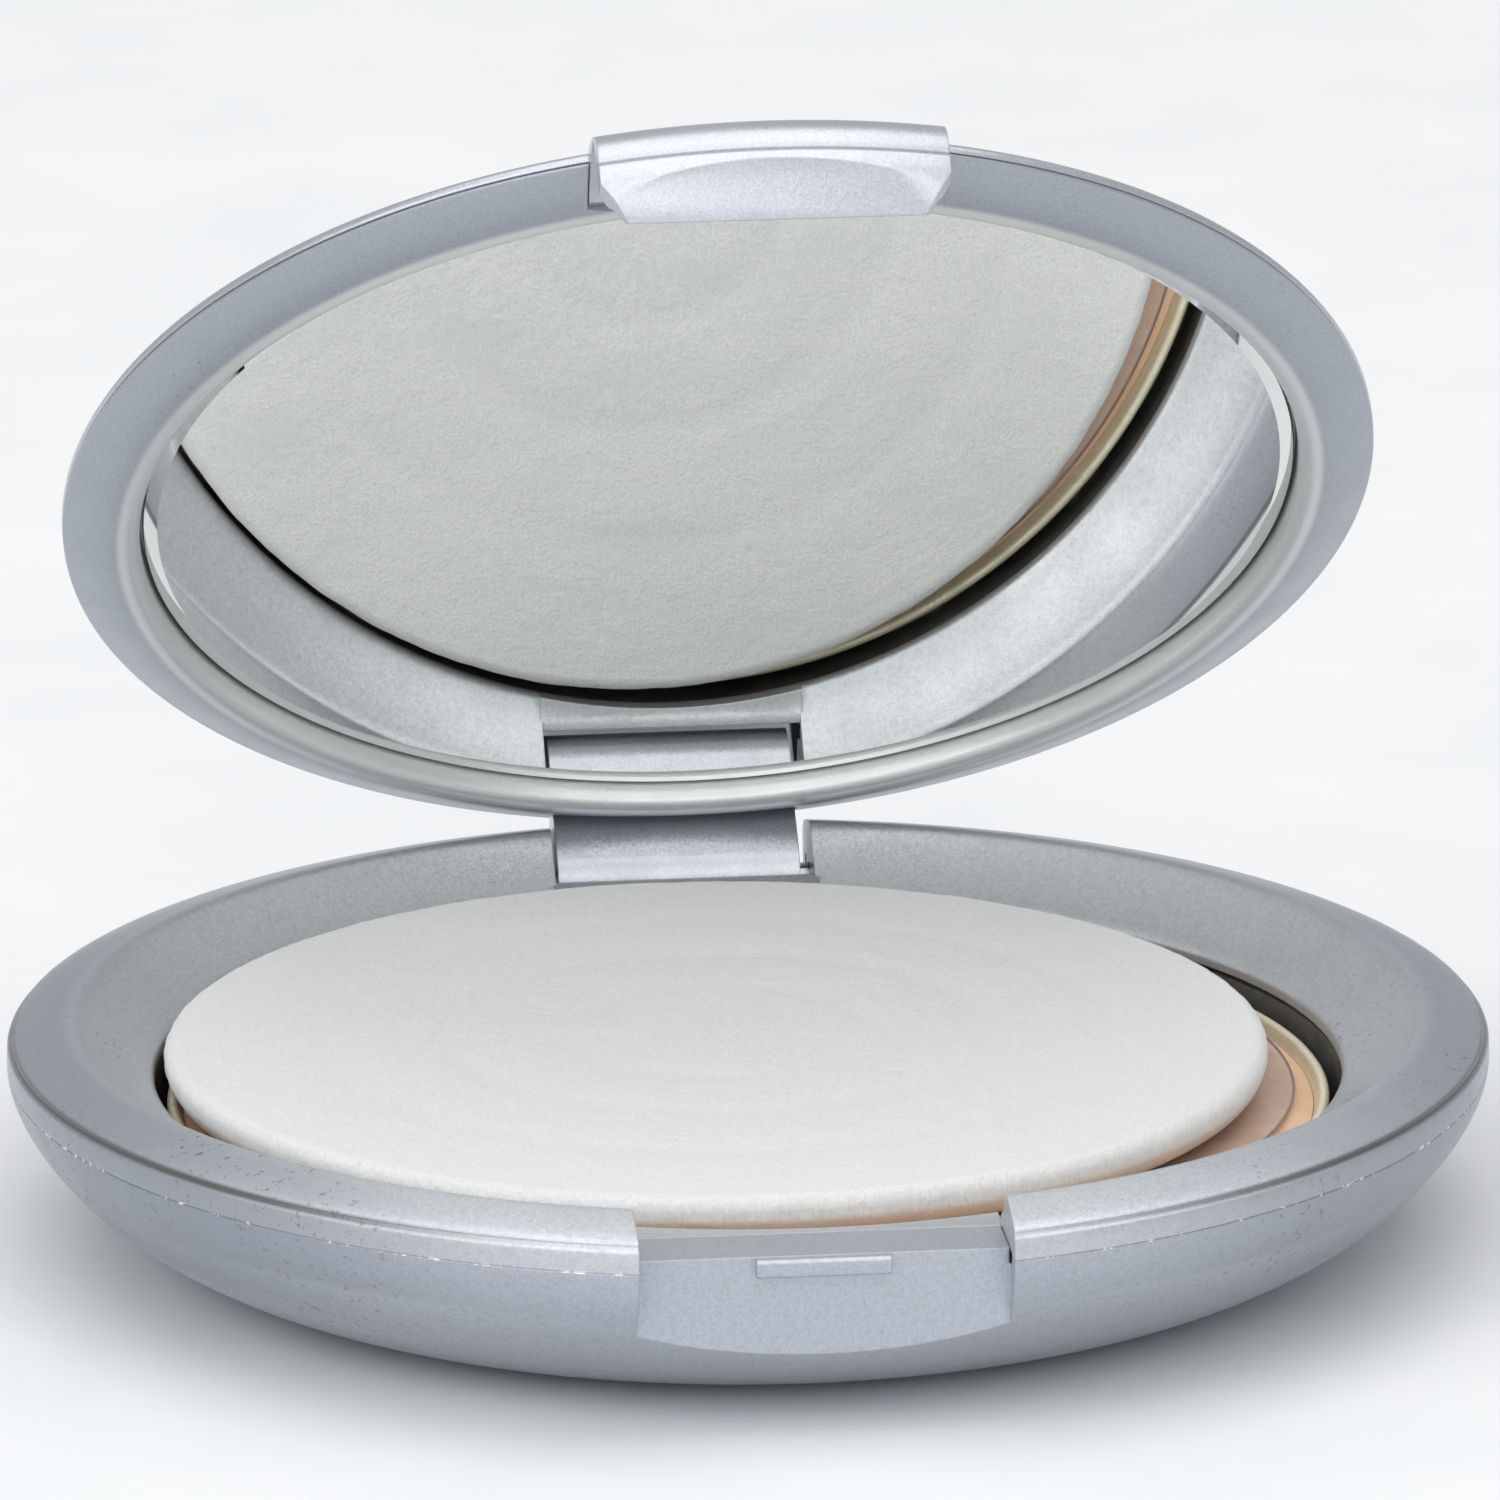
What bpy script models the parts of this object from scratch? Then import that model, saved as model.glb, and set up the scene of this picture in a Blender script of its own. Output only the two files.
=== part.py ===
"""Round powder compact, open at 45.5 degrees, with its mirror lid, pan of pressed powder and puff.

Outlines are in millimetres. Their heights are measured from the crease, the widest line of the
base, and CREASE lifts them so that the foot stands on Z = 0. The lid is drawn closed, over the
base, and turned open about the hinge pin by its parent empty.
"""
import math

import bmesh
import bpy
from mathutils import Matrix, Vector

MM = 0.001
STEPS = 64                    # facets round a turned piece

# Driving dimensions, in millimetres
CREASE = 10.6                 # height of the crease over the foot
BASE_R = 38.1                 # outer radius of the base
FOOT_R = 24.0                 # outer radius of the flat foot
WALL = 1.2                    # wall of the bottom shell
SEAM = -1.3                   # parting line between rim and bottom shell
GAP = 0.15                    # half of the gap kept at a parting line
CREST_R, CREST_Z = 34.7, 1.02  # sharp crest of the rim
WELL_R = 30.57                # lip of the well
LIP_Z = -1.95                 # height of the well's lip
LEDGE_Z = -1.2                # ledges in the front recess and the back notch
RECESS_X, RECESS_Y = 9.3, -35.0    # half width and back wall of the thumb recess
NOTCH_X, NOTCH_Y = 6.95, 31.65     # half width and front wall of the hinge notch
PIN_Y, PIN_Z = 34.86, -2.12   # hinge axis
PIN_R, BORE_R = 0.6, 0.68     # hinge pin and the bores that it runs in
OPEN_ANGLE = 45.5             # degrees that the lid stands open at rest
LID_R = 34.03                 # outer radius of the lid
LID_Z = 0.95                  # lower edge of the closed lid
DOME_Z = 6.6                  # top of the closed lid
TAB_X, TAB_Y = 8.8, -35.9     # half width and inner face of the thumb tab
LUG_X, LUG_R = 6.5, 2.65      # half width and radius of the hinge lug
SIDE_PLAY = 0.22              # the lid sits this far to the left in its end play
MIRROR_R, MIRROR_Z = 29.7, 0.89    # mirror and the height of its front face
PAN_R, PAN_Z = 29.95, -3.25   # pan's rolled lip
POWDER_Z = -3.9               # top of the pressed powder
PUFF_R, PUFF_X, PUFF_Y = 28.1, -1.6, 1.0
PUFF_LOW, PUFF_TOP = -3.0, -0.35
FILM_R, FILM_X, FILM_Y = 27.6, 0.7, 1.0


def clear_scene():
    for item in list(bpy.data.objects):
        bpy.data.objects.remove(item, do_unlink=True)


def material(name, colour, roughness, metallic=0.0, alpha=1.0):
    made = bpy.data.materials.new(name)
    made.use_nodes = True
    shader = made.node_tree.nodes["Principled BSDF"]
    shader.inputs["Base Color"].default_value = (*colour, 1.0)
    shader.inputs["Roughness"].default_value = roughness
    shader.inputs["Metallic"].default_value = metallic
    shader.inputs["Alpha"].default_value = alpha
    return made


def finish_mesh(name, bm, finish, at=(0.0, 0.0)):
    """Turn a bmesh in millimetres into an object in metres, standing at (x, y) = at."""
    bmesh.ops.remove_doubles(bm, verts=bm.verts, dist=0.0001)
    bmesh.ops.recalc_face_normals(bm, faces=bm.faces)
    bmesh.ops.transform(bm, matrix=Matrix.Scale(MM, 4), verts=bm.verts)
    mesh = bpy.data.meshes.new(name)
    bm.to_mesh(mesh)
    bm.free()
    mesh.shade_smooth()
    mesh.set_sharp_from_angle(angle=math.radians(32))
    made = bpy.data.objects.new(name, mesh)
    bpy.context.scene.collection.objects.link(made)
    made.location = (at[0] * MM, at[1] * MM, 0.0)
    if finish is None:
        made.hide_render = True
        made.display_type = "WIRE"
    else:
        mesh.materials.append(finish)
    return made


def turned(name, outline, finish=None, at=(0.0, 0.0)):
    """Spin a closed outline of (radius, height) points round the vertical axis."""
    bm = bmesh.new()
    corners = [bm.verts.new((r, 0.0, z + CREASE)) for r, z in outline]
    for start, end in zip(corners, corners[1:] + corners[:1]):
        if max(start.co.x, end.co.x) > 1e-6:
            bm.edges.new((start, end))
    bmesh.ops.spin(bm, geom=bm.verts[:] + bm.edges[:], cent=(0, 0, 0), axis=(0, 0, 1),
                   angle=math.tau, steps=STEPS, use_merge=True, use_duplicate=False)
    return finish_mesh(name, bm, finish, at)


def prism(name, outline, low, high, finish=None, along="X"):
    """Extrude a closed outline between low and high: (y, z) points along X, (x, z) along Y."""
    if along == "X":
        place, step = (lambda y, z: (low, y, z + CREASE)), Vector((high - low, 0, 0))
    else:
        place, step = (lambda x, z: (x, low, z + CREASE)), Vector((0, high - low, 0))
    bm = bmesh.new()
    face = bm.faces.new([bm.verts.new(place(a, b)) for a, b in outline])
    grown = bmesh.ops.extrude_face_region(bm, geom=[face], use_keep_orig=True)
    moved = [item for item in grown["geom"] if isinstance(item, bmesh.types.BMVert)]
    bmesh.ops.translate(bm, vec=step, verts=moved)
    return finish_mesh(name, bm, finish)


def block(name, x, y, z, finish=None):
    """A box between pairs of limits."""
    outline = [(y[0], z[0]), (y[1], z[0]), (y[1], z[1]), (y[0], z[1])]
    return prism(name, outline, x[0], x[1], finish)


def round_bar(name, radius, half, finish=None):
    """A bar along X on the hinge axis."""
    outline = arc((PIN_Y, PIN_Z), radius, 0.0, 345.0, 24)
    return prism(name, outline, -half, half, finish)


def combine(target, operation, *others):
    for other in others:
        step = target.modifiers.new(other.name, "BOOLEAN")
        step.operation = operation
        step.solver = "EXACT"
        step.object = other
    return target


def arc(centre, radius, start, end, count):
    """Points on an arc, from start to end in degrees."""
    angles = [math.radians(start + (end - start) * i / (count - 1)) for i in range(count)]
    return [(centre[0] + radius * math.cos(a), centre[1] + radius * math.sin(a)) for a in angles]


def bezier(a, b, c, d, count):
    """Points on a cubic curve from a to d with handles b and c, without its first point."""
    points = []
    for i in range(1, count + 1):
        t = i / count
        weights = ((1 - t) ** 3, 3 * t * (1 - t) ** 2, 3 * t * t * (1 - t), t ** 3)
        points.append(tuple(sum(w * p[k] for w, p in zip(weights, (a, b, c, d))) for k in (0, 1)))
    return points


def dome(radius, top, edge):
    """Height of the lid's dome: steep at its edge and flat in the middle."""
    return edge + (top - edge) * (1.0 - (radius / 33.7) ** 3.2)


def bowl_outline():
    """Outer side of the bottom shell, from its parting line down to the foot."""
    start = (BASE_R, SEAM - GAP)
    return [start] + bezier(start, (37.85, -4.2), (32.6, -CREASE), (FOOT_R, -CREASE), 9)


def base_shell(finish):
    inner = [(r - WALL, z + 0.2 * WALL * (BASE_R - r) / 6.0) for r, z in bowl_outline()[:-2]]
    floor = -CREASE + 1.6
    groove = [(20.2, -CREASE), (20.0, -CREASE + 0.4), (19.4, -CREASE + 0.4), (19.2, -CREASE)]
    outline = bowl_outline() + groove + [(0.0, -CREASE), (0.0, floor), (24.5, floor)] + inner[::-1]
    shell = turned("base_shell", outline, finish)
    core = [(r - 0.6, min(z + 0.25, SEAM - GAP)) for r, z in bowl_outline()[:-2]]
    core = turned("shell_core", [(0, SEAM - GAP)] + core + [(0, core[-1][1])])
    front = block("front_block", (-10.3, 10.3), (-39, -29), (-8.55, -2.0))
    combine(front, "INTERSECT", core)
    ledge = block("front_ledge", (-RECESS_X + 0.2, RECESS_X - 0.2), (RECESS_Y - 1, -29), (-2.2, LEDGE_Z))
    well = block("well_side", (-12, 12), (-31.5, -20), (-9, 2))
    sides = [block(f"notch_side_{n}", x, (31.75, 39), (-8.4, -3.75))
             for n, x in (("left", (-8.2, -NOTCH_X + 0.5)), ("right", (NOTCH_X - 0.5, 8.2)))]
    for side in sides:
        combine(side, "INTERSECT", core)
    pockets = [block(f"ear_pocket_{n}", x, (33, 36.3), (-3.6, 0))
               for n, x in (("left", (-8.5, -NOTCH_X + 0.3)), ("right", (NOTCH_X - 0.3, 8.5)))]
    recess = block("thumb_recess", (-RECESS_X, RECESS_X), (-45, RECESS_Y), (-9.5, 4))
    notch = block("hinge_notch", (-NOTCH_X, NOTCH_X), (NOTCH_Y, 45), (-12, 4))
    nub = prism("catch_nub", [(RECESS_Y + 0.3, -1.24), (RECESS_Y - 0.35, -1.24), (RECESS_Y - 0.6, -1.49),
                              (RECESS_Y - 0.6, -1.95), (RECESS_Y - 0.35, -2.2), (RECESS_Y + 0.3, -2.2)],
                -3.35, 3.35)
    combine(front, "UNION", ledge)
    combine(front, "DIFFERENCE", well)
    combine(shell, "UNION", front, *sides)
    combine(shell, "DIFFERENCE", *pockets, recess, notch)
    return combine(shell, "UNION", nub)


def base_rim(finish):
    """Upper ring of the base: roll, crest, dished deck and the well's lip, open at front and back."""
    roll = bezier((37.8, 0.12), (37.4, 0.42), (36.0, 0.8), (CREST_R, CREST_Z), 6)
    outline = [(BASE_R, SEAM + GAP), (BASE_R, -0.2), (37.7, -0.02), (37.8, 0.12)] + roll
    outline += [(34.45, 0.9), (34.2, 0.55), (30.8, LIP_Z + 0.15), (WELL_R, LIP_Z)]
    outline += [(WELL_R, -2.45), (31.2, -2.45), (32.2, SEAM + GAP)]
    rim = turned("base_rim", outline, finish)
    ears = []
    for side in (-1, 1):
        ear = prism(f"hinge_ear_{side}", [(32.6, -0.9), (36.0, -0.9), (35.95, -2.4), (35.35, -3.15),
                                          (34.3, -3.45), (33.0, -3.1)],
                    *sorted((side * (NOTCH_X + 0.05), side * 8.2)))
        ears.append(ear)
    front = block("rim_front_gap", (-RECESS_X, RECESS_X), (-45, -26), (-2.05, 4))
    back = block("rim_back_gap", (-NOTCH_X, NOTCH_X), (26, 45), (-2.05, 4))
    shelves = []
    for side, y, half in (("front", (-31.35, -29), RECESS_X + 0.1), ("back", (29, NOTCH_Y), NOTCH_X + 0.12)):
        shelf = block(f"{side}_shelf", (-half, half), y, (-2.25, LEDGE_Z))
        core = turned(f"{side}_well_core", [(0, -4), (WELL_R + 0.03, -4), (WELL_R + 0.03, 1), (0, 1)])
        shelves.append(combine(shelf, "DIFFERENCE", core))
    combine(rim, "UNION", *ears)
    combine(rim, "DIFFERENCE", front, back)
    combine(rim, "UNION", *shelves)
    return combine(rim, "DIFFERENCE", round_bar("ear_bore", BORE_R, 8.9))


def inner_tray(finish):
    """Plain cup that holds the pan inside the base."""
    outline = [(0, -8.7), (28.4, -8.7), (31.3, -7.1), (31.3, -2.75), (30.75, -2.75),
               (30.75, -6.9), (28.5, -8.1), (0, -8.1)]
    return turned("inner_tray", outline, finish)


def hinge_pin(finish):
    return round_bar("hinge_pin", PIN_R, 8.4, finish)


def pan(finish):
    """Pressed metal pan with a rolled lip."""
    lip = PAN_Z
    outline = [(0, -7.4), (28.4, -7.4), (28.8, -7.0), (29.55, lip - 0.45), (29.9, lip - 0.3),
               (PAN_R, lip - 0.12), (29.85, lip), (29.5, lip), (29.3, lip - 0.2), (28.4, -6.95), (0, -6.95)]
    return turned("powder_pan", outline, finish)


def pan_adhesive(finish):
    return turned("pan_adhesive", [(0, -7.95), (24, -7.95), (24, -7.65), (0, -7.65)], finish)


def powder_cake(finish):
    outline = [(0, -6.7), (27.9, -6.7), (28.75, POWDER_Z - 0.25), (28.5, POWDER_Z), (0, POWDER_Z)]
    return turned("powder_cake", outline, finish)


def powder_film(finish):
    """Clear disc that keeps the puff off the powder."""
    return turned("powder_film", [(0, -3.6), (FILM_R, -3.6), (FILM_R, -3.4), (0, -3.4)],
                  finish, (FILM_X, FILM_Y))


def puff(finish):
    """Flat round puff with soft edges, off centre in the well."""
    middle = (PUFF_LOW + PUFF_TOP) / 2
    outline = [(0, PUFF_LOW), (PUFF_R - 1.0, PUFF_LOW), (PUFF_R - 0.2, PUFF_LOW + 0.5), (PUFF_R, middle),
               (PUFF_R - 0.25, PUFF_TOP - 0.6), (PUFF_R - 1.2, PUFF_TOP), (0, PUFF_TOP)]
    return turned("puff", outline, finish, (PUFF_X, PUFF_Y))


def tab_envelope():
    """Outer surface that the tab and the lug share with the closed base."""
    return turned("closed_outer_form", [
        (0, -9), (35, -9), (37.2, -5.5), (38.05, -2.6), (38.05, -1.62), (37.9, -1.49), (38.05, -1.36),
        (38.05, -0.5), (37.8, 0.1), (37.2, 0.66), (36.5, 1.1), (35.5, 1.5), (34.6, 1.73), (33.8, 1.8), (0, 1.8)])


def thumb_tab(envelope):
    """Tab that fills the thumb recess, with a slanted thumb facet and a latch ridge inside."""
    side_view = [(-30.65, 0.2), (-31.2, -0.12), (-34.0, LID_Z), (-35.4, LID_Z), (TAB_Y, 0.3),
                 (TAB_Y, -2.85), (TAB_Y + 0.2, -3.0), (TAB_Y + 0.2, -3.3), (TAB_Y, -3.45),
                 (TAB_Y, -4.35), (-36.15, -4.5), (-38.1, -1.95), (-39.5, -1.95), (-39.5, 2.6), (-31.6, 2.6)]
    tab = prism("thumb_tab", side_view, -TAB_X, TAB_X)
    front_view = [(-TAB_X + 0.02, 3.5), (-TAB_X + 0.02, -2.6), (-7.5, -4.4), (-7.2, -4.8),
                  (7.2, -4.8), (7.5, -4.4), (TAB_X - 0.02, -2.6), (TAB_X - 0.02, 3.5)]
    front_form = prism("tab_front_form", front_view, -42, -29, along="Y")
    return combine(tab, "INTERSECT", front_form, envelope)


def hinge_lug(envelope):
    """Lug that reaches from the lid down round the hinge pin."""
    side_view = [(32.05, 2.6), (32.05, 1.2), (32.3, 0.75)] + arc((PIN_Y, PIN_Z), LUG_R, 180, 360, 13)
    side_view += [(38.0, -1.4), (39.5, -0.9), (39.5, 2.6)]
    lug = prism("hinge_lug", side_view, -LUG_X - SIDE_PLAY, LUG_X - SIDE_PLAY)
    return combine(lug, "INTERSECT", envelope)


def lid_shell(finish):
    outer = [(33.7, 1.92)] + [(r, dome(r, DOME_Z, 1.92)) for r in (32.8, 31.0, 28.0, 24.0, 18.0, 10.0, 0.0)]
    inner = [(r, dome(r, DOME_Z, 1.92) - 0.9) for r in (0.0, 10.0, 18.0, 24.0, 28.0, 31.0, 32.6)]
    edge = LID_Z + 0.4
    outline = [(33.1, edge), (34.05, edge), (34.02, 1.65)] + outer + inner
    shell = turned("lid_shell", outline, finish)
    envelope = tab_envelope()
    tab, lug = thumb_tab(envelope), hinge_lug(envelope)
    combine(shell, "UNION", tab, lug)
    combine(shell, "DIFFERENCE", round_bar("lug_bore", BORE_R, 8.0))
    return shell


def lid_inner_panel(finish):
    """Band round the mirror with its rounded lip, and the floor that the mirror is fixed to."""
    lip = arc((30.75, 0.35), 0.62, 285, 185, 7)
    outline = [(LID_R, LID_Z + 0.1), (LID_R, LID_Z), (31.35, -0.22)] + lip
    outline += [(30.08, 0.6), (30.08, 1.97), (0, 1.97), (0, 2.5), (28.4, 2.5), (30.1, 2.15),
                (31.2, 1.7), (32.3, 1.3), (32.8, LID_Z + 0.2), (33.8, LID_Z + 0.2)]
    panel = turned("lid_inner_panel", outline, finish)
    tab_gap = block("panel_tab_gap", (-TAB_X - 0.3, TAB_X + 0.3), (-45, -30.4), (-4, 4))
    lug_sides = (-LUG_X - SIDE_PLAY - 0.2, LUG_X - SIDE_PLAY + 0.2)
    lug_gap = block("panel_lug_gap", lug_sides, (31.85, 45), (-4, 4))
    return combine(panel, "DIFFERENCE", tab_gap, lug_gap)


def mirror(finish):
    low, high = MIRROR_Z, MIRROR_Z + 0.8
    outline = [(0, low), (MIRROR_R - 0.25, low), (MIRROR_R, low + 0.2), (MIRROR_R, high), (0, high)]
    return turned("mirror", outline, finish)


def mirror_tape(finish):
    low = MIRROR_Z + 0.86
    return turned("mirror_tape", [(0, low), (26, low), (26, low + 0.14), (0, low + 0.14)], finish)


def hang_on_hinge(pieces):
    """Parent the closed lid's pieces to an empty on the hinge axis and swing it open."""
    hinge = bpy.data.objects.new("lid_hinge", None)
    bpy.context.scene.collection.objects.link(hinge)
    hinge.location = (0.0, PIN_Y * MM, (PIN_Z + CREASE) * MM)
    closed = Matrix.Translation(hinge.location)
    hinge.rotation_euler = (-math.radians(OPEN_ANGLE), 0.0, 0.0)
    for piece in pieces:
        piece.parent = hinge
        piece.matrix_parent_inverse = closed.inverted()


def build():
    clear_scene()
    lacquer = material("silver_lacquer", (0.46, 0.49, 0.54), 0.34, 0.7)
    base_shell(lacquer)
    base_rim(material("silver_lacquer_rim", (0.46, 0.49, 0.54), 0.32, 0.7))
    inner_tray(material("grey_plastic", (0.16, 0.15, 0.14), 0.5))
    hinge_pin(material("pin_steel", (0.55, 0.55, 0.56), 0.25, 1.0))
    pan(material("pan_gold", (0.78, 0.68, 0.44), 0.3, 0.9))
    pan_adhesive(material("adhesive", (0.8, 0.79, 0.74), 0.6))
    powder_cake(material("pressed_powder", (0.62, 0.36, 0.21), 0.9))
    powder_film(material("clear_film", (0.75, 0.7, 0.7), 0.1, 0.0, 0.3))
    puff(material("puff_velour", (0.78, 0.77, 0.74), 0.95))
    base_pieces = set(bpy.context.scene.objects)
    lid_shell(material("silver_lacquer_lid", (0.46, 0.49, 0.54), 0.32, 0.7))
    lid_inner_panel(material("silver_lacquer_panel", (0.38, 0.43, 0.5), 0.36, 0.6))
    mirror(material("mirror_glass", (0.85, 0.88, 0.86), 0.02, 1.0))
    mirror_tape(material("foam_tape", (0.7, 0.7, 0.68), 0.8))
    hang_on_hinge([piece for piece in bpy.context.scene.objects if piece not in base_pieces])


build()
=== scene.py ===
"""Looks of the round powder compact: finely turned pieces over the CAD frame, lacquer, mirror,
powder and puff. Outlines are in millimetres, with heights measured from the crease of the base,
as in the part's source. Lid pieces are drawn closed and swung open about the hinge to the rest pose.
"""
import math

import bmesh
import bpy
from mathutils import Matrix, Vector, noise


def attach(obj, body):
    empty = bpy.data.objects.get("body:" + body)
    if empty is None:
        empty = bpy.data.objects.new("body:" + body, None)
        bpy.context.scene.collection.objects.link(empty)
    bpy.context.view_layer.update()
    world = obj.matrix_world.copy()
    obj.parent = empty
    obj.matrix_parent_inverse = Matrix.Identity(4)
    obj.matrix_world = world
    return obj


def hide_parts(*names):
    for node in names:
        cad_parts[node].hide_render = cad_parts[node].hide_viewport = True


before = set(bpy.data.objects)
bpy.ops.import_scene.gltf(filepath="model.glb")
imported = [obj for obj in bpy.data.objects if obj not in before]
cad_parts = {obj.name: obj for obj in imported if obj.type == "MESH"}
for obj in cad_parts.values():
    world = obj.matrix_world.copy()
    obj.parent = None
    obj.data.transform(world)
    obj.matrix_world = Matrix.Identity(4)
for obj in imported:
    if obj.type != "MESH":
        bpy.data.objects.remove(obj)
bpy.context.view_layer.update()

MM = 0.001
FINE = 256                    # facets round a turned piece
CREASE = 10.6                 # height of the crease over the foot
BASE_R = 38.1
FOOT_R = 24.0
SEAM = -1.3                   # parting line between rim and bottom shell
GAP = 0.004                   # half of the parting line's width
WELL_R, LIP_Z = 30.57, -1.95  # lip of the well
LEDGE_Z = -1.2
RECESS_X, RECESS_Y = 9.3, -35.0    # half width and back wall of the thumb recess
NOTCH_X, NOTCH_Y = 6.95, 31.65     # half width and front wall of the hinge notch
PIN_Y, PIN_Z = 34.86, -2.12   # hinge axis
BORE_R = 0.68                 # bores that the hinge pin runs in
OPEN_ANGLE = 45.5             # degrees that the lid stands open at rest
LID_R, LID_Z = 34.03, 0.95
DOME_R, DOME_EDGE, DOME_Z = 33.7, 1.92, 6.6    # edge radius, edge height and top of the dome
TAB_X, TAB_Y = 8.8, -35.9
LUG_X, LUG_R = 6.5, 2.65
SIDE_PLAY = 0.22              # the lid sits this far to the left in its end play
MIRROR_R, MIRROR_Z = 29.7, 0.89
PAN_Z = -3.25
POWDER_Z = -3.82
PUFF_R, PUFF_X, PUFF_Y = 28.45, -1.5, 1.0
PUFF_LOW, PUFF_TOP = -3.0, -0.35
FILM_R, FILM_X, FILM_Y = 27.6, 0.7, 1.0


# ---------------------------------------------------------------- outlines

def arc(centre, radius, start, end, count):
    """Points on an arc, from start to end in degrees."""
    angles = [math.radians(start + (end - start) * i / (count - 1)) for i in range(count)]
    return [(centre[0] + radius * math.cos(a), centre[1] + radius * math.sin(a)) for a in angles]


def bezier(a, b, c, d, count):
    """Points on a cubic curve from a to d with handles b and c, without its first point."""
    points = []
    for i in range(1, count + 1):
        t = i / count
        weights = ((1 - t) ** 3, 3 * t * (1 - t) ** 2, 3 * t * t * (1 - t), t ** 3)
        points.append(tuple(sum(w * p[k] for w, p in zip(weights, (a, b, c, d))) for k in (0, 1)))
    return points


def rounded(outline, radii):
    """Replace corners of a closed outline with arcs: radii maps a corner's index to its radius."""
    points = []
    count = len(outline)
    for i, corner in enumerate(outline):
        radius = radii.get(i, 0.0)
        if not radius:
            points.append(corner)
            continue
        here = Vector(corner)
        before = (Vector(outline[i - 1]) - here).normalized()
        after = (Vector(outline[(i + 1) % count]) - here).normalized()
        half = before.angle(after) / 2
        reach = radius / math.tan(half)
        start, end = here + before * reach, here + after * reach
        centre = here + (before + after).normalized() * (radius / math.sin(half))
        first, last = start - centre, end - centre
        turn = first.angle_signed(last)
        for k in range(6):
            swung = first.copy()
            swung.rotate(Matrix.Rotation(-turn * k / 5, 2))
            points.append(tuple(centre + swung))
    return points


def dome(radius):
    """Height of the lid's dome: steep at its edge and flat in the middle."""
    return DOME_EDGE + (DOME_Z - DOME_EDGE) * (1.0 - (radius / DOME_R) ** 3.2)


# ---------------------------------------------------------------- mesh building

def finish_mesh(name, bm):
    """Turn a bmesh in millimetres into an object in metres."""
    bmesh.ops.remove_doubles(bm, verts=bm.verts, dist=0.0001)
    bmesh.ops.recalc_face_normals(bm, faces=bm.faces)
    bmesh.ops.transform(bm, matrix=Matrix.Scale(MM, 4), verts=bm.verts)
    mesh = bpy.data.meshes.new(name)
    bm.to_mesh(mesh)
    bm.free()
    made = bpy.data.objects.new(name, mesh)
    bpy.context.scene.collection.objects.link(made)
    return made


def turned(name, outline):
    """Spin a closed outline of (radius, height) points round the vertical axis."""
    bm = bmesh.new()
    corners = [bm.verts.new((r, 0.0, z + CREASE)) for r, z in outline]
    for start, end in zip(corners, corners[1:] + corners[:1]):
        if max(start.co.x, end.co.x) > 1e-6:
            bm.edges.new((start, end))
    bmesh.ops.spin(bm, geom=bm.verts[:] + bm.edges[:], cent=(0, 0, 0), axis=(0, 0, 1),
                   angle=math.tau, steps=FINE, use_merge=True, use_duplicate=False)
    return finish_mesh(name, bm)


def prism(name, outline, low, high, along="X"):
    """Extrude a closed outline between low and high: (y, z) points along X, (x, z) along Y."""
    if along == "X":
        place, step = (lambda y, z: (low, y, z + CREASE)), Vector((high - low, 0, 0))
    else:
        place, step = (lambda x, z: (x, low, z + CREASE)), Vector((0, high - low, 0))
    bm = bmesh.new()
    face = bm.faces.new([bm.verts.new(place(a, b)) for a, b in outline])
    grown = bmesh.ops.extrude_face_region(bm, geom=[face], use_keep_orig=True)
    moved = [item for item in grown["geom"] if isinstance(item, bmesh.types.BMVert)]
    bmesh.ops.translate(bm, vec=step, verts=moved)
    return finish_mesh(name, bm)


def block(name, x, y, z):
    """A box between pairs of limits."""
    outline = [(y[0], z[0]), (y[1], z[0]), (y[1], z[1]), (y[0], z[1])]
    return prism(name, outline, x[0], x[1])


def round_bar(name, radius, half):
    """A bar along X on the hinge axis."""
    return prism(name, arc((PIN_Y, PIN_Z), radius, 0.0, 352.5, 48), -half, half)


def combine(target, operation, *others):
    """Union, cut or intersect the others into the target, and drop them."""
    for other in others:
        step = target.modifiers.new(other.name, "BOOLEAN")
        step.operation = operation
        step.solver = "EXACT"
        step.object = other
    graph = bpy.context.evaluated_depsgraph_get()
    made = bpy.data.meshes.new_from_object(target.evaluated_get(graph))
    target.modifiers.clear()
    target.data = made
    for other in others:
        bpy.data.objects.remove(other, do_unlink=True)
    return target


def soften(piece, width, angle=38.0):
    """Round the cut edges of a finished piece by a small bevel."""
    step = piece.modifiers.new("soft_edges", "BEVEL")
    step.width = width * MM
    step.segments = 2
    step.limit_method = "ANGLE"
    step.angle_limit = math.radians(angle)
    step.use_clamp_overlap = True
    step.harden_normals = False


def dress(piece, body, finishes, slot, *nodes, angle=32.0):
    """Shade, paint and mount a finished piece, which stands for its CAD nodes."""
    piece.data.shade_smooth()
    piece.data.set_sharp_from_angle(angle=math.radians(angle))
    for finish in finishes if isinstance(finishes, (list, tuple)) else [finishes]:
        piece.data.materials.append(finish)
    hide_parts(*nodes)
    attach(piece, body)
    return piece


def opening():
    """Turn of the lid about the hinge pin, from closed to the rest pose."""
    hinge = Vector((0.0, PIN_Y * MM, (PIN_Z + CREASE) * MM))
    turn = Matrix.Rotation(-math.radians(OPEN_ANGLE), 4, "X")
    return Matrix.Translation(hinge) @ turn @ Matrix.Translation(-hinge)


def open_place(x, y, z):
    """Where the open lid has a point of the closed lid."""
    return tuple(opening() @ Vector((x * MM, y * MM, (z + CREASE) * MM)))


def swing_open(piece):
    """Turn a piece drawn on the closed lid to where the open lid has it."""
    piece.data.transform(opening())
    return piece


# ---------------------------------------------------------------- base

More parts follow.
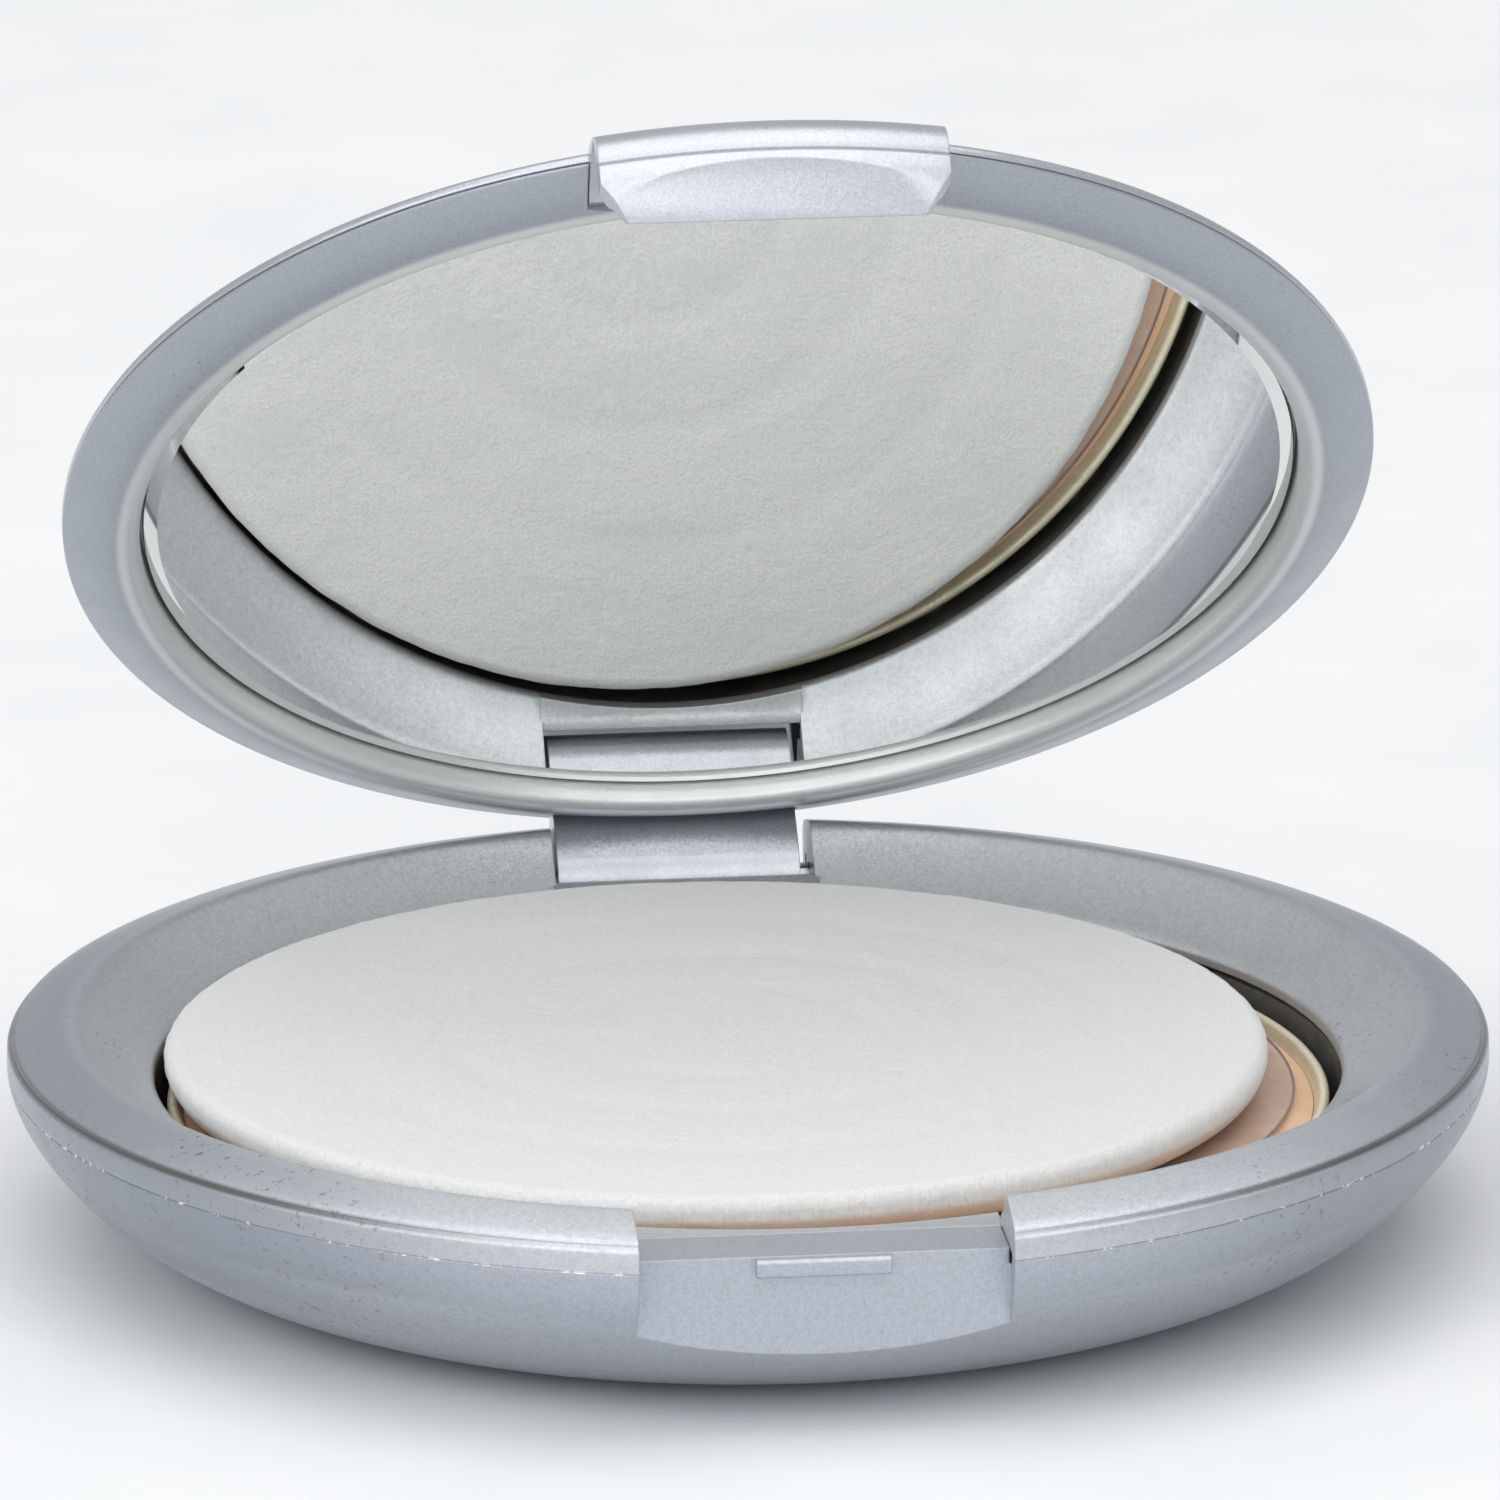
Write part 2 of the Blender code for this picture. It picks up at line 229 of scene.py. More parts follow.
def bowl_outline():
    """Outer side of the bottom shell, from its parting line down to the foot."""
    start = (BASE_R, SEAM - GAP - 0.1)
    edge = [(BASE_R - 0.02, SEAM - GAP), (BASE_R - 0.005, SEAM - GAP - 0.02)]
    return edge + [start] + bezier(start, (37.85, -4.2), (32.6, -CREASE), (FOOT_R, -CREASE), 28)


def make_base_shell(finish):
    """Bowl with its foot groove, thumb recess, catch nub and hinge notch."""
    outer = bowl_outline()
    inner = [(r - 1.2, min(z + 0.04 * (BASE_R - r), SEAM - GAP)) for r, z in outer[:-6:3]]
    floor = -CREASE + 1.6
    groove = arc((19.7, -CREASE), 0.4, 0, 180, 9)
    outline = outer + groove + [(0.0, -CREASE), (0.0, floor), (24.5, floor)] + inner[::-1]
    shell = turned("base_shell_skin", outline)
    inside = [(r - 0.6, min(z + 0.25, SEAM - GAP)) for r, z in outer[:-5]]
    core = turned("shell_core", [(0, SEAM - GAP)] + inside + [(0, inside[-1][1])])
    front = block("front_block", (-10.3, 10.3), (-39, -29), (-8.55, -2.0))
    combine(front, "INTERSECT", core)
    ledge = block("ledge", (-RECESS_X + 0.04, RECESS_X - 0.04), (RECESS_Y - 1, -29), (-2.2, LEDGE_Z))
    combine(front, "UNION", ledge)
    combine(front, "DIFFERENCE", block("well_side", (-12, 12), (-31.37, -20), (-9, 3)))
    combine(shell, "UNION", front)
    recess = block("thumb_recess", (-RECESS_X, RECESS_X), (-45, RECESS_Y), (-9.5, 4))
    notch = block("hinge_notch", (-NOTCH_X, NOTCH_X), (NOTCH_Y, 45), (-12, 4))
    combine(shell, "DIFFERENCE", recess, notch)
    face = RECESS_Y - 0.6
    nub = rounded([(RECESS_Y + 0.3, -1.24), (face, -1.24), (face, -2.2), (RECESS_Y + 0.3, -2.2)],
                  {1: 0.22, 2: 0.22})
    combine(shell, "UNION", prism("catch_nub", nub, -3.35, 3.35))
    soften(shell, 0.09)
    return dress(shell, "base", finish, "silver_lacquer", "base_shell")


def rim_outline():
    """Outer roll with the groove at the crease, crest, dished deck and the well's lip."""
    roll = [(BASE_R - 0.015, SEAM + GAP), (BASE_R, SEAM + GAP + 0.02), (BASE_R, SEAM + GAP + 0.1)]
    roll += [(BASE_R, -0.34), (BASE_R - 0.05, -0.18), (37.87, -0.08)]
    roll += [(37.8, 0.0), (37.78, 0.08), (37.78, 0.14)]
    roll += bezier((37.78, 0.14), (37.4, 0.42), (36.1, 0.78), (34.95, 1.03), 12)
    crest = bezier((34.95, 1.03), (34.72, 1.08), (34.5, 0.98), (34.3, 0.78), 6)
    deck = bezier((34.3, 0.78), (33.6, 0.05), (32.4, -1.0), (30.85, LIP_Z + 0.2), 16)
    lip = [(30.7, LIP_Z + 0.08), (30.6, LIP_Z - 0.04), (WELL_R, LIP_Z - 0.2)]
    return roll + crest + deck + lip + [(WELL_R, -2.45), (31.2, -2.45), (32.2, SEAM + GAP)]


def make_base_rim(finish):
    """Rim with a gap and a shelf at the front and the back, and the ears that hold the hinge pin."""
    rim = turned("base_rim_skin", rim_outline())
    ears = [prism(f"ear_{side}", [(32.6, -0.9), (36.0, -0.9), (35.95, -2.4), (35.35, -3.15),
                                  (34.3, -3.45), (33.0, -3.1)],
                  *sorted((side * (NOTCH_X + 0.05), side * 8.2))) for side in (-1, 1)]
    core_outline = [(0, -4), (WELL_R + 0.02, -4), (WELL_R + 0.02, 1), (0, 1)]
    shelves = []
    for y, half in (((-31.35, -29.0), RECESS_X + 0.1), ((29.0, NOTCH_Y), NOTCH_X + 0.12)):
        shelf = block("shelf", (-half, half), y, (-2.25, LEDGE_Z))
        shelves.append(combine(shelf, "DIFFERENCE", turned("well_core", core_outline)))
    combine(rim, "UNION", *ears)
    combine(rim, "DIFFERENCE", block("front_gap", (-RECESS_X, RECESS_X), (-45, -26), (-2.05, 4)),
            block("back_gap", (-NOTCH_X, NOTCH_X), (26, 45), (-2.05, 4)))
    combine(rim, "UNION", *shelves)
    combine(rim, "DIFFERENCE", round_bar("ear_bore", BORE_R, 8.9))
    soften(rim, 0.1, 50.0)
    return dress(rim, "base", finish, "silver_lacquer", "base_rim")


def make_pan(finish):
    """Pressed metal pan with a rolled lip."""
    lip = PAN_Z
    edge = arc((29.62, lip - 0.3), 0.3, -20, 170, 12)
    outline = [(0, -7.4), (28.2, -7.4), (28.6, -7.25), (28.85, -6.9), (29.6, lip - 0.62)]
    outline += edge + [(29.2, lip - 0.45), (28.4, -6.95), (0, -6.95)]
    return dress(turned("pan_skin", outline), "base", finish, "pan_gold", "powder_pan")


def relief(low, high, at):
    """Smooth step from 0 to 1 between low and high."""
    t = min(max((at - low) / (high - low), 0.0), 1.0)
    return t * t * (3 - 2 * t)


def disc(name, radius, rings, spokes, profile_top, profile_low, at, wobble):
    """A soft disc: top and under side from functions of radius and angle, joined at the rim."""
    bm = bmesh.new()
    layers = []
    for profile, last in ((profile_top, rings), (profile_low, rings - 1)):
        side = [[bm.verts.new((at[0], at[1], profile(0.0, 0.0) + CREASE))]]
        for i in range(1, last + 1):
            share = math.sin(math.pi / 2 * i / rings)
            ring = []
            for k in range(spokes):
                turn = math.tau * k / spokes
                r = radius * share * (1.0 + wobble(share, turn))
                place = (at[0] + r * math.cos(turn), at[1] + r * math.sin(turn))
                ring.append(bm.verts.new((*place, profile(share, turn) + CREASE)))
            side.append(ring)
        layers.append(side)
    top, low = layers
    low.append(top[-1])
    for side in (top, low):
        for k in range(spokes):
            bm.faces.new((side[0][0], side[1][k], side[1][(k + 1) % spokes]))
        for inner, outer in zip(side[1:], side[2:]):
            for k in range(spokes):
                n = (k + 1) % spokes
                bm.faces.new((inner[k], outer[k], outer[n], inner[n]))
    return finish_mesh(name, bm)


def make_powder(finish):
    """Pressed cake: nearly flat, a little uneven in the middle and worn down at its edge."""
    def top(share, turn):
        swirl = noise.noise(Vector((share * 6 * math.cos(turn), share * 6 * math.sin(turn), 3.0)))
        edge = 0.12 * relief(0.975, 1.0, share)
        return POWDER_Z - edge + 0.04 * swirl * (1 - share)

    def low(share, turn):
        return -6.7 + 2.5 * relief(0.97, 1.0, share)

    made = disc("powder_skin", 29.1, 60, 192, top, low, (0, 0), lambda share, turn: 0.0)
    return dress(made, "base", finish, "pressed_powder", "powder_cake", angle=60)


def make_film(finish):
    """Thin clear disc, a little wavy towards its edge."""
    def height(share, turn):
        return 0.07 * noise.noise(Vector((2.2 * math.cos(turn), 2.2 * math.sin(turn), share * 2))) * share

    made = disc("film_skin", FILM_R, 24, 160, lambda s, t: -3.44 + height(s, t),
                lambda s, t: -3.52 + height(s, t), (FILM_X, FILM_Y), lambda s, t: 0.0)
    return dress(made, "base", finish, "clear_film", "powder_film", angle=60)


def quarter_round(share, start):
    """Fall of a rounded edge: 0 up to start, then a quarter circle down to 1 at the rim."""
    return 1.0 - math.sqrt(max(0.0, 1.0 - max(0.0, (share - start) / (1.0 - start)) ** 2))


def puff_height(share, turn):
    """Top of the puff: a soft crown, three pressed rings, nap and a rounded edge."""
    r = share * PUFF_R
    crown = 0.2 * (1.0 - share ** 2)
    rings = 0.0
    for at, width, depth in ((8.0, 0.9, 0.08), (14.0, 1.0, 0.1), (20.5, 1.1, 0.08)):
        rings -= depth * math.exp(-((r - at) / width) ** 2)
    drop = 0.8 * quarter_round(share, 0.974)
    lumps = 0.035 * noise.noise(Vector((r * 0.35 * math.cos(turn), r * 0.35 * math.sin(turn), 1.0)))
    nap = 0.035 * noise.noise(Vector((r * 2.4 * math.cos(turn), r * 2.4 * math.sin(turn), 5.0)))
    return PUFF_TOP - 0.22 + crown + rings - drop + lumps + nap


def puff_low(share, turn):
    """Under side of the puff: flat, and rounded up to the edge."""
    return PUFF_LOW + 1.5 * quarter_round(share, 0.94)


def puff_wobble(share, turn):
    """Uneven cut of the soft edge."""
    slow = noise.noise(Vector((1.6 * math.cos(turn), 1.6 * math.sin(turn), 0.0)))
    fast = noise.noise(Vector((26 * math.cos(turn), 26 * math.sin(turn), 7.0)))
    return relief(0.9, 1.0, share) * (0.004 * slow + 0.0022 * fast - 0.001)


def make_puff(finish):
    made = disc("puff_skin", PUFF_R, 150, 420, puff_height, puff_low, (PUFF_X, PUFF_Y), puff_wobble)
    dress(made, "puff", finish, "puff_velour", "puff", angle=75)
    return made


# ---------------------------------------------------------------- lid

def closed_form():
    """Outer surface that the tab and the lug share with the closed base."""
    skin = [(0, -9), (35, -9), (37.2, -5.5), (38.05, -2.6), (38.05, -1.66), (38.02, -1.58), (37.86, -1.49),
            (38.02, -1.4), (38.05, -1.32)]
    skin += bezier((38.05, -1.32), (38.1, 0.3), (36.9, 1.2), (34.6, 1.74), 18)
    return turned("closed_form", skin + [(33.8, 1.8), (0, 1.8)])


def make_lid_shell(finish):
    """Domed lid with the thumb tab and the hinge lug moulded on."""
    steps = 40
    outer = [(r, dome(r)) for r in (DOME_R * (1 - (i / steps) ** 1.6) for i in range(steps + 1))]
    inner = [(r, dome(r) - 0.9) for r in (0.0, 10.0, 18.0, 24.0, 28.0, 31.0, 32.6)]
    edge = LID_Z + 0.28
    rim = [(33.1, edge), (33.93, edge), (34.02, edge + 0.04), (34.05, edge + 0.13),
           (34.04, 1.58), (33.9, 1.8)]
    shell = turned("lid_shell_skin", rim + outer + inner)
    tab_side = [(-30.38, 0.2), (-31.2, -0.12), (-34.0, LID_Z), (-35.4, LID_Z), (TAB_Y, 0.3),
                (TAB_Y, -2.85), (TAB_Y + 0.2, -3.0), (TAB_Y + 0.2, -3.3), (TAB_Y, -3.45),
                (TAB_Y, -4.35), (-36.15, -4.5), (-38.1, -1.95), (-39.5, -1.95), (-39.5, 2.6), (-31.6, 2.6)]
    tab = prism("tab", tab_side, -TAB_X, TAB_X)
    half = TAB_X - 0.02
    front_view = [(-half, 3.5), (-half, -2.6), (-7.5, -4.4), (-7.2, -4.8), (7.2, -4.8), (7.5, -4.4),
                  (half, -2.6), (half, 3.5)]
    combine(tab, "INTERSECT", prism("tab_front_form", front_view, -42, -29, along="Y"), closed_form())
    lug_side = [(31.95, 2.6), (31.95, 1.6), (32.5, 0.75)] + arc((PIN_Y, PIN_Z), LUG_R, 180, 360, 33)
    lug_side += [(38.0, -1.4), (39.5, -0.9), (39.5, 2.6)]
    lug = prism("lug", lug_side, -LUG_X - SIDE_PLAY, LUG_X - SIDE_PLAY)
    combine(lug, "INTERSECT", closed_form())
    combine(shell, "UNION", tab, lug)
    combine(shell, "DIFFERENCE", round_bar("lug_bore", BORE_R, 8.0))
    soften(shell, 0.12)
    return dress(swing_open(shell), "lid", finish, "silver_lacquer_lid", "lid_shell")


def make_lid_panel(finish):
    """Band round the mirror with its rounded lip, and the floor that the mirror is fixed to."""
    lip = arc((30.75, 0.35), 0.62, 285, 185, 14)
    outline = [(LID_R, LID_Z + 0.2), (LID_R, LID_Z + 0.08), (LID_R - 0.08, LID_Z), (31.35, -0.2)] + lip
    outline += [(30.08, 0.6), (30.08, 1.97), (0, 1.97), (0, 2.5), (28.4, 2.5), (30.1, 2.15),
                (31.2, 1.7), (32.3, 1.3), (32.8, LID_Z + 0.2)]
    panel = turned("lid_panel_skin", outline)
    tab_gap = block("tab_gap", (-TAB_X - 0.02, TAB_X + 0.02), (-45, -30.4), (-4, 4))
    lug_sides = (-LUG_X - SIDE_PLAY - 0.1, LUG_X - SIDE_PLAY + 0.1)
    combine(panel, "DIFFERENCE", tab_gap, block("lug_gap", lug_sides, (31.85, 45), (-4, 4)))
    return dress(swing_open(panel), "lid", finish, "silver_lacquer_lid", "lid_inner_panel")


def make_mirror(face, edge):
    """Silvered glass: its face and bevel are mirror, and its sides are ground."""
    low, high = MIRROR_Z, MIRROR_Z + 0.8
    outline = [(0, low), (MIRROR_R - 0.55, low), (MIRROR_R + 0.14, low + 0.13),
               (MIRROR_R + 0.2, low + 0.24), (MIRROR_R + 0.2, high), (0, high)]
    glass = turned("mirror_skin", outline)
    dress(swing_open(glass), "lid", [face, edge], "mirror_glass", "mirror", angle=5)
    ahead = Matrix.Rotation(-math.radians(OPEN_ANGLE), 3, "X") @ Vector((0, 0, -1))
    for polygon in glass.data.polygons:
        polygon.material_index = 0 if polygon.normal.dot(ahead) > 0.95 else 1
    return glass


# ---------------------------------------------------------------- materials

class Nodes:
    """Short hand for building one material's nodes."""

    def __init__(self, name, colour, roughness, metallic=0.0):
        self.material = bpy.data.materials.new(name)
        self.material.use_nodes = True
        self.tree = self.material.node_tree
        self.shader = self.tree.nodes["Principled BSDF"]
        self.shader.inputs["Base Color"].default_value = (*colour, 1)
        self.shader.inputs["Roughness"].default_value = roughness
        self.shader.inputs["Metallic"].default_value = metallic
        self.place = self.add("ShaderNodeTexCoord").outputs["Object"]

    def add(self, kind, **values):
        node = self.tree.nodes.new(kind)
        for key, value in values.items():
            setattr(node, key, value)
        return node

    def link(self, source, target):
        self.tree.links.new(source, target)

    def noise(self, scale, detail=3.0, roughness=0.5, stretch=None):
        node = self.add("ShaderNodeTexNoise")
        node.inputs["Scale"].default_value = scale
        node.inputs["Detail"].default_value = detail
        node.inputs["Roughness"].default_value = roughness
        place = self.place
        if stretch:
            mapping = self.add("ShaderNodeMapping")
            mapping.inputs["Scale"].default_value = stretch
            self.link(place, mapping.inputs["Vector"])
            place = mapping.outputs["Vector"]
        self.link(place, node.inputs["Vector"])
        return node.outputs["Fac"]

    def ranged(self, source, low, high, out_low=0.0, out_high=1.0):
        """Smooth step of a value between low and high, from out_low to out_high."""
        node = self.add("ShaderNodeMapRange", interpolation_type="SMOOTHSTEP")
        limits = (("From Min", low), ("From Max", high), ("To Min", out_low), ("To Max", out_high))
        for key, value in limits:
            node.inputs[key].default_value = value
        self.link(source, node.inputs["Value"])
        return node.outputs["Result"]

    def maths(self, operation, *values):
        node = self.add("ShaderNodeMath", operation=operation)
        for socket, value in zip(node.inputs, values):
            if isinstance(value, (int, float)):
                socket.default_value = value
            else:
                self.link(value, socket)
        return node.outputs[0]

    def product(self, first, *others):
        for other in others:
            first = self.maths("MULTIPLY", first, other)
        return first

    def mix(self, share, first, second):
        node = self.add("ShaderNodeMix", data_type="RGBA")
        for socket, value in ((node.inputs[0], share), (node.inputs[6], first), (node.inputs[7], second)):
            if isinstance(value, tuple):
                socket.default_value = (*value, 1)
            elif isinstance(value, (int, float)):
                socket.default_value = value
            else:
                self.link(value, socket)
        return node.outputs[2]

    def bump(self, height, distance, strength=1.0, normal=None):
        node = self.add("ShaderNodeBump")
        node.inputs["Distance"].default_value = distance
        node.inputs["Strength"].default_value = strength
        self.link(height, node.inputs["Height"])
        if normal is not None:
            self.link(normal, node.inputs["Normal"])
        return node.outputs["Normal"]

    def reach(self, centre, place=None):
        """Distance from a point in metres."""
        node = self.add("ShaderNodeVectorMath", operation="DISTANCE")
        self.link(place or self.place, node.inputs[0])
        node.inputs[1].default_value = centre
        return node.outputs["Value"]

    def radius(self, x=0.0, y=0.0):
        """Distance from the vertical line through (x, y) in millimetres."""
        level = self.add("ShaderNodeVectorMath", operation="MULTIPLY")
        self.link(self.place, level.inputs[0])
        level.inputs[1].default_value = (1.0, 1.0, 0.0)
        return self.reach((x * MM, y * MM, 0.0), level.outputs[0])

    def between(self, source, low, high, low_fade, high_fade):
        """1 between low and high, in millimetres, fading to 0 past each of them."""
        return self.product(self.ranged(source, (low - low_fade) * MM, low * MM),
                            self.ranged(source, (high + high_fade) * MM, high * MM))

    def axis(self, name):
        node = self.add("ShaderNodeSeparateXYZ")
        self.link(self.place, node.inputs[0])
        return node.outputs[name]

    def paint(self, colour=None, roughness=None, normal=None):
        for key, value in (("Base Color", colour), ("Roughness", roughness), ("Normal", normal)):
            if value is not None:
                self.link(value, self.shader.inputs[key])
        return self.material


def flake_normal(n):
    """Surface normal that fine metal flakes tip a little at random, with softened edges."""
    flakes = n.add("ShaderNodeTexVoronoi")
    flakes.inputs["Scale"].default_value = 15000.0
    n.link(n.place, flakes.inputs["Vector"])
    tilt = n.add("ShaderNodeVectorMath", operation="SUBTRACT")
    n.link(flakes.outputs["Color"], tilt.inputs[0])
    tilt.inputs[1].default_value = (0.5, 0.5, 0.5)
    less = n.add("ShaderNodeVectorMath", operation="SCALE")
    n.link(tilt.outputs[0], less.inputs[0])
    less.inputs["Scale"].default_value = 0.11
    edge = n.add("ShaderNodeBevel", samples=4)
    edge.inputs["Radius"].default_value = 0.12 * MM
    total = n.add("ShaderNodeVectorMath", operation="ADD")
    n.link(edge.outputs[0], total.inputs[0])
    n.link(less.outputs[0], total.inputs[1])
    unit = n.add("ShaderNodeVectorMath", operation="NORMALIZE")
    n.link(total.outputs[0], unit.inputs[0])
    return unit.outputs[0]


def shade_sides_and_mottle(n, colour, tone, across):
    """Painted shade darkening the outer left and right sides of the base, and a mottle over all of it."""
    outer = n.ranged(n.radius(), 33.8 * MM, 35.6 * MM)
    # Painted shade: the outer roll and shell darken towards the left and right.
    side_shade = n.product(n.ranged(across, 16 * MM, 37 * MM, 0.0, 0.75), outer)
    colour = n.mix(side_shade, colour, tuple(c * s for c, s in zip(tone, (0.40, 0.44, 0.50))))
    mottle = n.ranged(n.noise(3000.0, 3.0, 0.7), 0.42, 0.68, 0.0, 0.38)
    return n.mix(mottle, colour, tuple(c * 0.72 for c in tone))


def wear_pits(n, wear, across):
    """Share of small pits, which are thickest at the left and right of the front."""
    pits = n.ranged(n.noise(2300.0, 3.0, 0.65), 0.69 - 0.08 * wear, 0.73 - 0.08 * wear)
    patch = n.ranged(n.noise(110.0, 3.0, 0.6), 0.40, 0.58)
    side = n.ranged(across, 14 * MM, 30 * MM)
    front = n.ranged(n.axis("Y"), 14 * MM, -8 * MM)
    return n.product(pits, n.maths("MAXIMUM", n.product(side, front, patch), 0.1 * wear))


def crease_shade_and_seam(n, colour, across):
    """Painted shade in the groove at the crease and on a duller band under it, both strongest at the left
    and right, and bright dashes on the seam.
    """
    height = n.axis("Z")
    outside = n.ranged(n.radius(), 36.9 * MM, 37.2 * MM)
    aside = n.ranged(across, 10 * MM, 30 * MM, 0.15, 1.0)
    crease = n.between(height, CREASE - 0.05, CREASE + 0.1, 0.15, 0.16)
    # Painted shade: the groove at the crease is darkened, most at the left and right.
    colour = n.mix(n.product(crease, outside, aside), colour, (0.12, 0.12, 0.125))
    below = n.ranged(height, (CREASE - 0.05) * MM, (CREASE - 0.35) * MM)
    # Painted shade: the band under the crease is darkened towards the left and right.
    colour = n.mix(n.product(below, aside, outside, 0.55), colour, (0.26, 0.285, 0.33))
    seam = n.between(height, CREASE + SEAM - 0.03, CREASE + SEAM + 0.03, 0.07, 0.07)
    dashes = n.product(seam, outside, n.ranged(n.noise(900.0, 3.0, 0.7), 0.555, 0.63))
    return n.mix(dashes, colour, (0.86, 0.88, 0.9))


def lacquer(name, tone, wear, roughness=0.36, metallic=0.8, base_shade_and_wear=False, lip=None):
    """Silver lacquer: fine bright flake, faint orange peel, dark pits where it is worn.

    The flag for the base adds painted shade at its sides and in its crease, a mottle and bright
    dashes on the seam. lip is the centre of the lid's rounded lip, which gets a painted highlight.
    """
    n = Nodes(name, tone, roughness, metallic)
    bright = n.ranged(n.noise(8000.0, 2.0), 0.3, 0.7)
    colour = n.mix(bright, tuple(c * 0.93 for c in tone), tuple(c * 1.06 for c in tone))
    across = n.maths("ABSOLUTE", n.axis("X"))
    # Painted shade at the sides of the base, and a mottle.
    if base_shade_and_wear:
        colour = shade_sides_and_mottle(n, colour, tone, across)
    if lip:
        # Painted highlight: the lid's rounded lip is lightened all round, where it catches the light.
        lip_highlight = n.ranged(n.reach(lip), 31.5 * MM, 31.05 * MM)
        colour = n.mix(lip_highlight, colour, (0.66, 0.675, 0.68))
    worn = wear_pits(n, wear, across)
    colour = n.mix(worn, colour, (0.20, 0.205, 0.22))
    # Painted shade in and under the base's crease, and bright dashes on the seam.
    if base_shade_and_wear:
        colour = crease_shade_and_seam(n, colour, across)
    rough = n.ranged(n.noise(300.0, 3.0), 0.3, 0.7, roughness - 0.03, roughness + 0.04)
    rough = n.maths("ADD", rough, n.product(worn, 0.25))
    normal = n.bump(n.noise(900.0, 2.0), 0.00002, 0.2, flake_normal(n))
    normal = n.bump(n.maths("SUBTRACT", 1.0, worn), 0.00003, 0.8, normal)
    n.shader.inputs["Coat Weight"].default_value = 0.5
    n.shader.inputs["Coat Roughness"].default_value = 0.25
    return n.paint(colour, rough, normal)


def velour():
    """Short off-white nap: fine matted fibres, tinted by powder at its edge and under side."""
    n = Nodes("puff_velour", (0.8, 0.8, 0.775), 0.95)
    fibres = n.noise(5200.0, 5.0, 0.75, (1.0, 1.0, 0.25))
    tufts = n.noise(900.0, 4.0, 0.6)
    colour = n.mix(n.ranged(fibres, 0.3, 0.7), (0.68, 0.685, 0.68), (0.80, 0.80, 0.79))
    colour = n.mix(n.ranged(tufts, 0.35, 0.7, 0.0, 0.25), colour, (0.76, 0.75, 0.73))
    low = n.ranged(n.axis("Z"), (CREASE - 1.65) * MM, (CREASE - 2.1) * MM, 0.0, 0.75)
    colour = n.mix(low, colour, (0.66, 0.48, 0.35))
    n.shader.inputs["Sheen Weight"].default_value = 0.5
    n.shader.inputs["Sheen Roughness"].default_value = 0.6
    n.shader.inputs["Specular IOR Level"].default_value = 0.15
    normal = n.bump(fibres, 0.00016, 0.7)
    normal = n.bump(tufts, 0.00025, 0.5, normal)
    return n.paint(colour, None, normal)


def powder():
    """Pressed peach powder: fine grain, faint streaks and crumbs."""
    n = Nodes("pressed_powder", (0.62, 0.37, 0.22), 0.9)
    grain = n.noise(7000.0, 4.0, 0.7)
    cloud = n.noise(240.0, 4.0, 0.6)
    colour = n.mix(n.ranged(cloud, 0.35, 0.65), (0.74, 0.48, 0.31), (0.81, 0.55, 0.37))
    colour = n.mix(n.ranged(grain, 0.55, 0.75, 0.0, 0.4), colour, (0.82, 0.6, 0.43))
    n.shader.inputs["Specular IOR Level"].default_value = 0.2
    return n.paint(colour, None, n.bump(grain, 0.00008, 0.6))


def gold():
    """Thin gold-lacquered pan: a fine grain and a few scuffs."""
    n = Nodes("pan_gold", (0.86, 0.78, 0.56), 0.36, 0.2)
    scuff = n.noise(500.0, 4.0, 0.6)
    colour = n.mix(n.ranged(scuff, 0.4, 0.7), (0.84, 0.77, 0.58), (0.78, 0.70, 0.51))
    return n.paint(colour, n.ranged(scuff, 0.3, 0.7, 0.22, 0.42), n.bump(n.noise(1500.0), 0.00001, 0.3))


def film():
    """Thin rose-tinted clear film, dusted with powder, darker along its cut edge."""
    n = Nodes("clear_film", (0.62, 0.5, 0.46), 0.22)
    dust = n.noise(260.0, 4.0, 0.5)
    rim = n.ranged(n.radius(FILM_X, FILM_Y), (FILM_R - 0.22) * MM, (FILM_R - 0.05) * MM)
    colour = n.mix(n.ranged(dust, 0.4, 0.75), (0.74, 0.57, 0.47), (0.79, 0.61, 0.50))
    colour = n.mix(rim, colour, (0.16, 0.11, 0.10))
    alpha = n.maths("MAXIMUM", n.ranged(dust, 0.35, 0.75, 0.38, 0.5), rim)
    n.link(alpha, n.shader.inputs["Alpha"])
    return n.paint(colour, n.ranged(dust, 0.3, 0.7, 0.16, 0.34), n.bump(n.noise(600.0), 0.00003, 0.25))


def mirror_face():
    """Silvered glass with the faintest smears."""
    n = Nodes("mirror_silver", (0.97, 0.985, 0.96), 0.02, 1.0)
    smear = n.noise(90.0, 5.0, 0.7, (1.0, 2.2, 1.0))
    colour = n.mix(n.ranged(smear, 0.35, 0.7), (0.97, 0.985, 0.96), (0.93, 0.95, 0.925))
    return n.paint(colour, n.ranged(smear, 0.45, 0.8, 0.012, 0.05))


def mirror_edge():
    """Ground edge of the mirror glass, dark teal with small chips, and painted bright glints standing for
    reflected light.
    """
    n = Nodes("mirror_edge", (0.3, 0.42, 0.42), 0.12, 0.9)
    chips_and_glints = n.noise(2600.0, 4.0, 0.7)
    # Painted highlight: bright glints stand for light reflected along the ground edge.
    colour = n.mix(n.ranged(chips_and_glints, 0.56, 0.66), (0.22, 0.36, 0.37), (0.75, 0.85, 0.84))
    n.shader.inputs["Coat Weight"].default_value = 0.8
    n.shader.inputs["Coat Roughness"].default_value = 0.08
    return n.paint(colour, n.ranged(chips_and_glints, 0.3, 0.7, 0.1, 0.35), n.bump(chips_and_glints, 0.00004, 0.5))


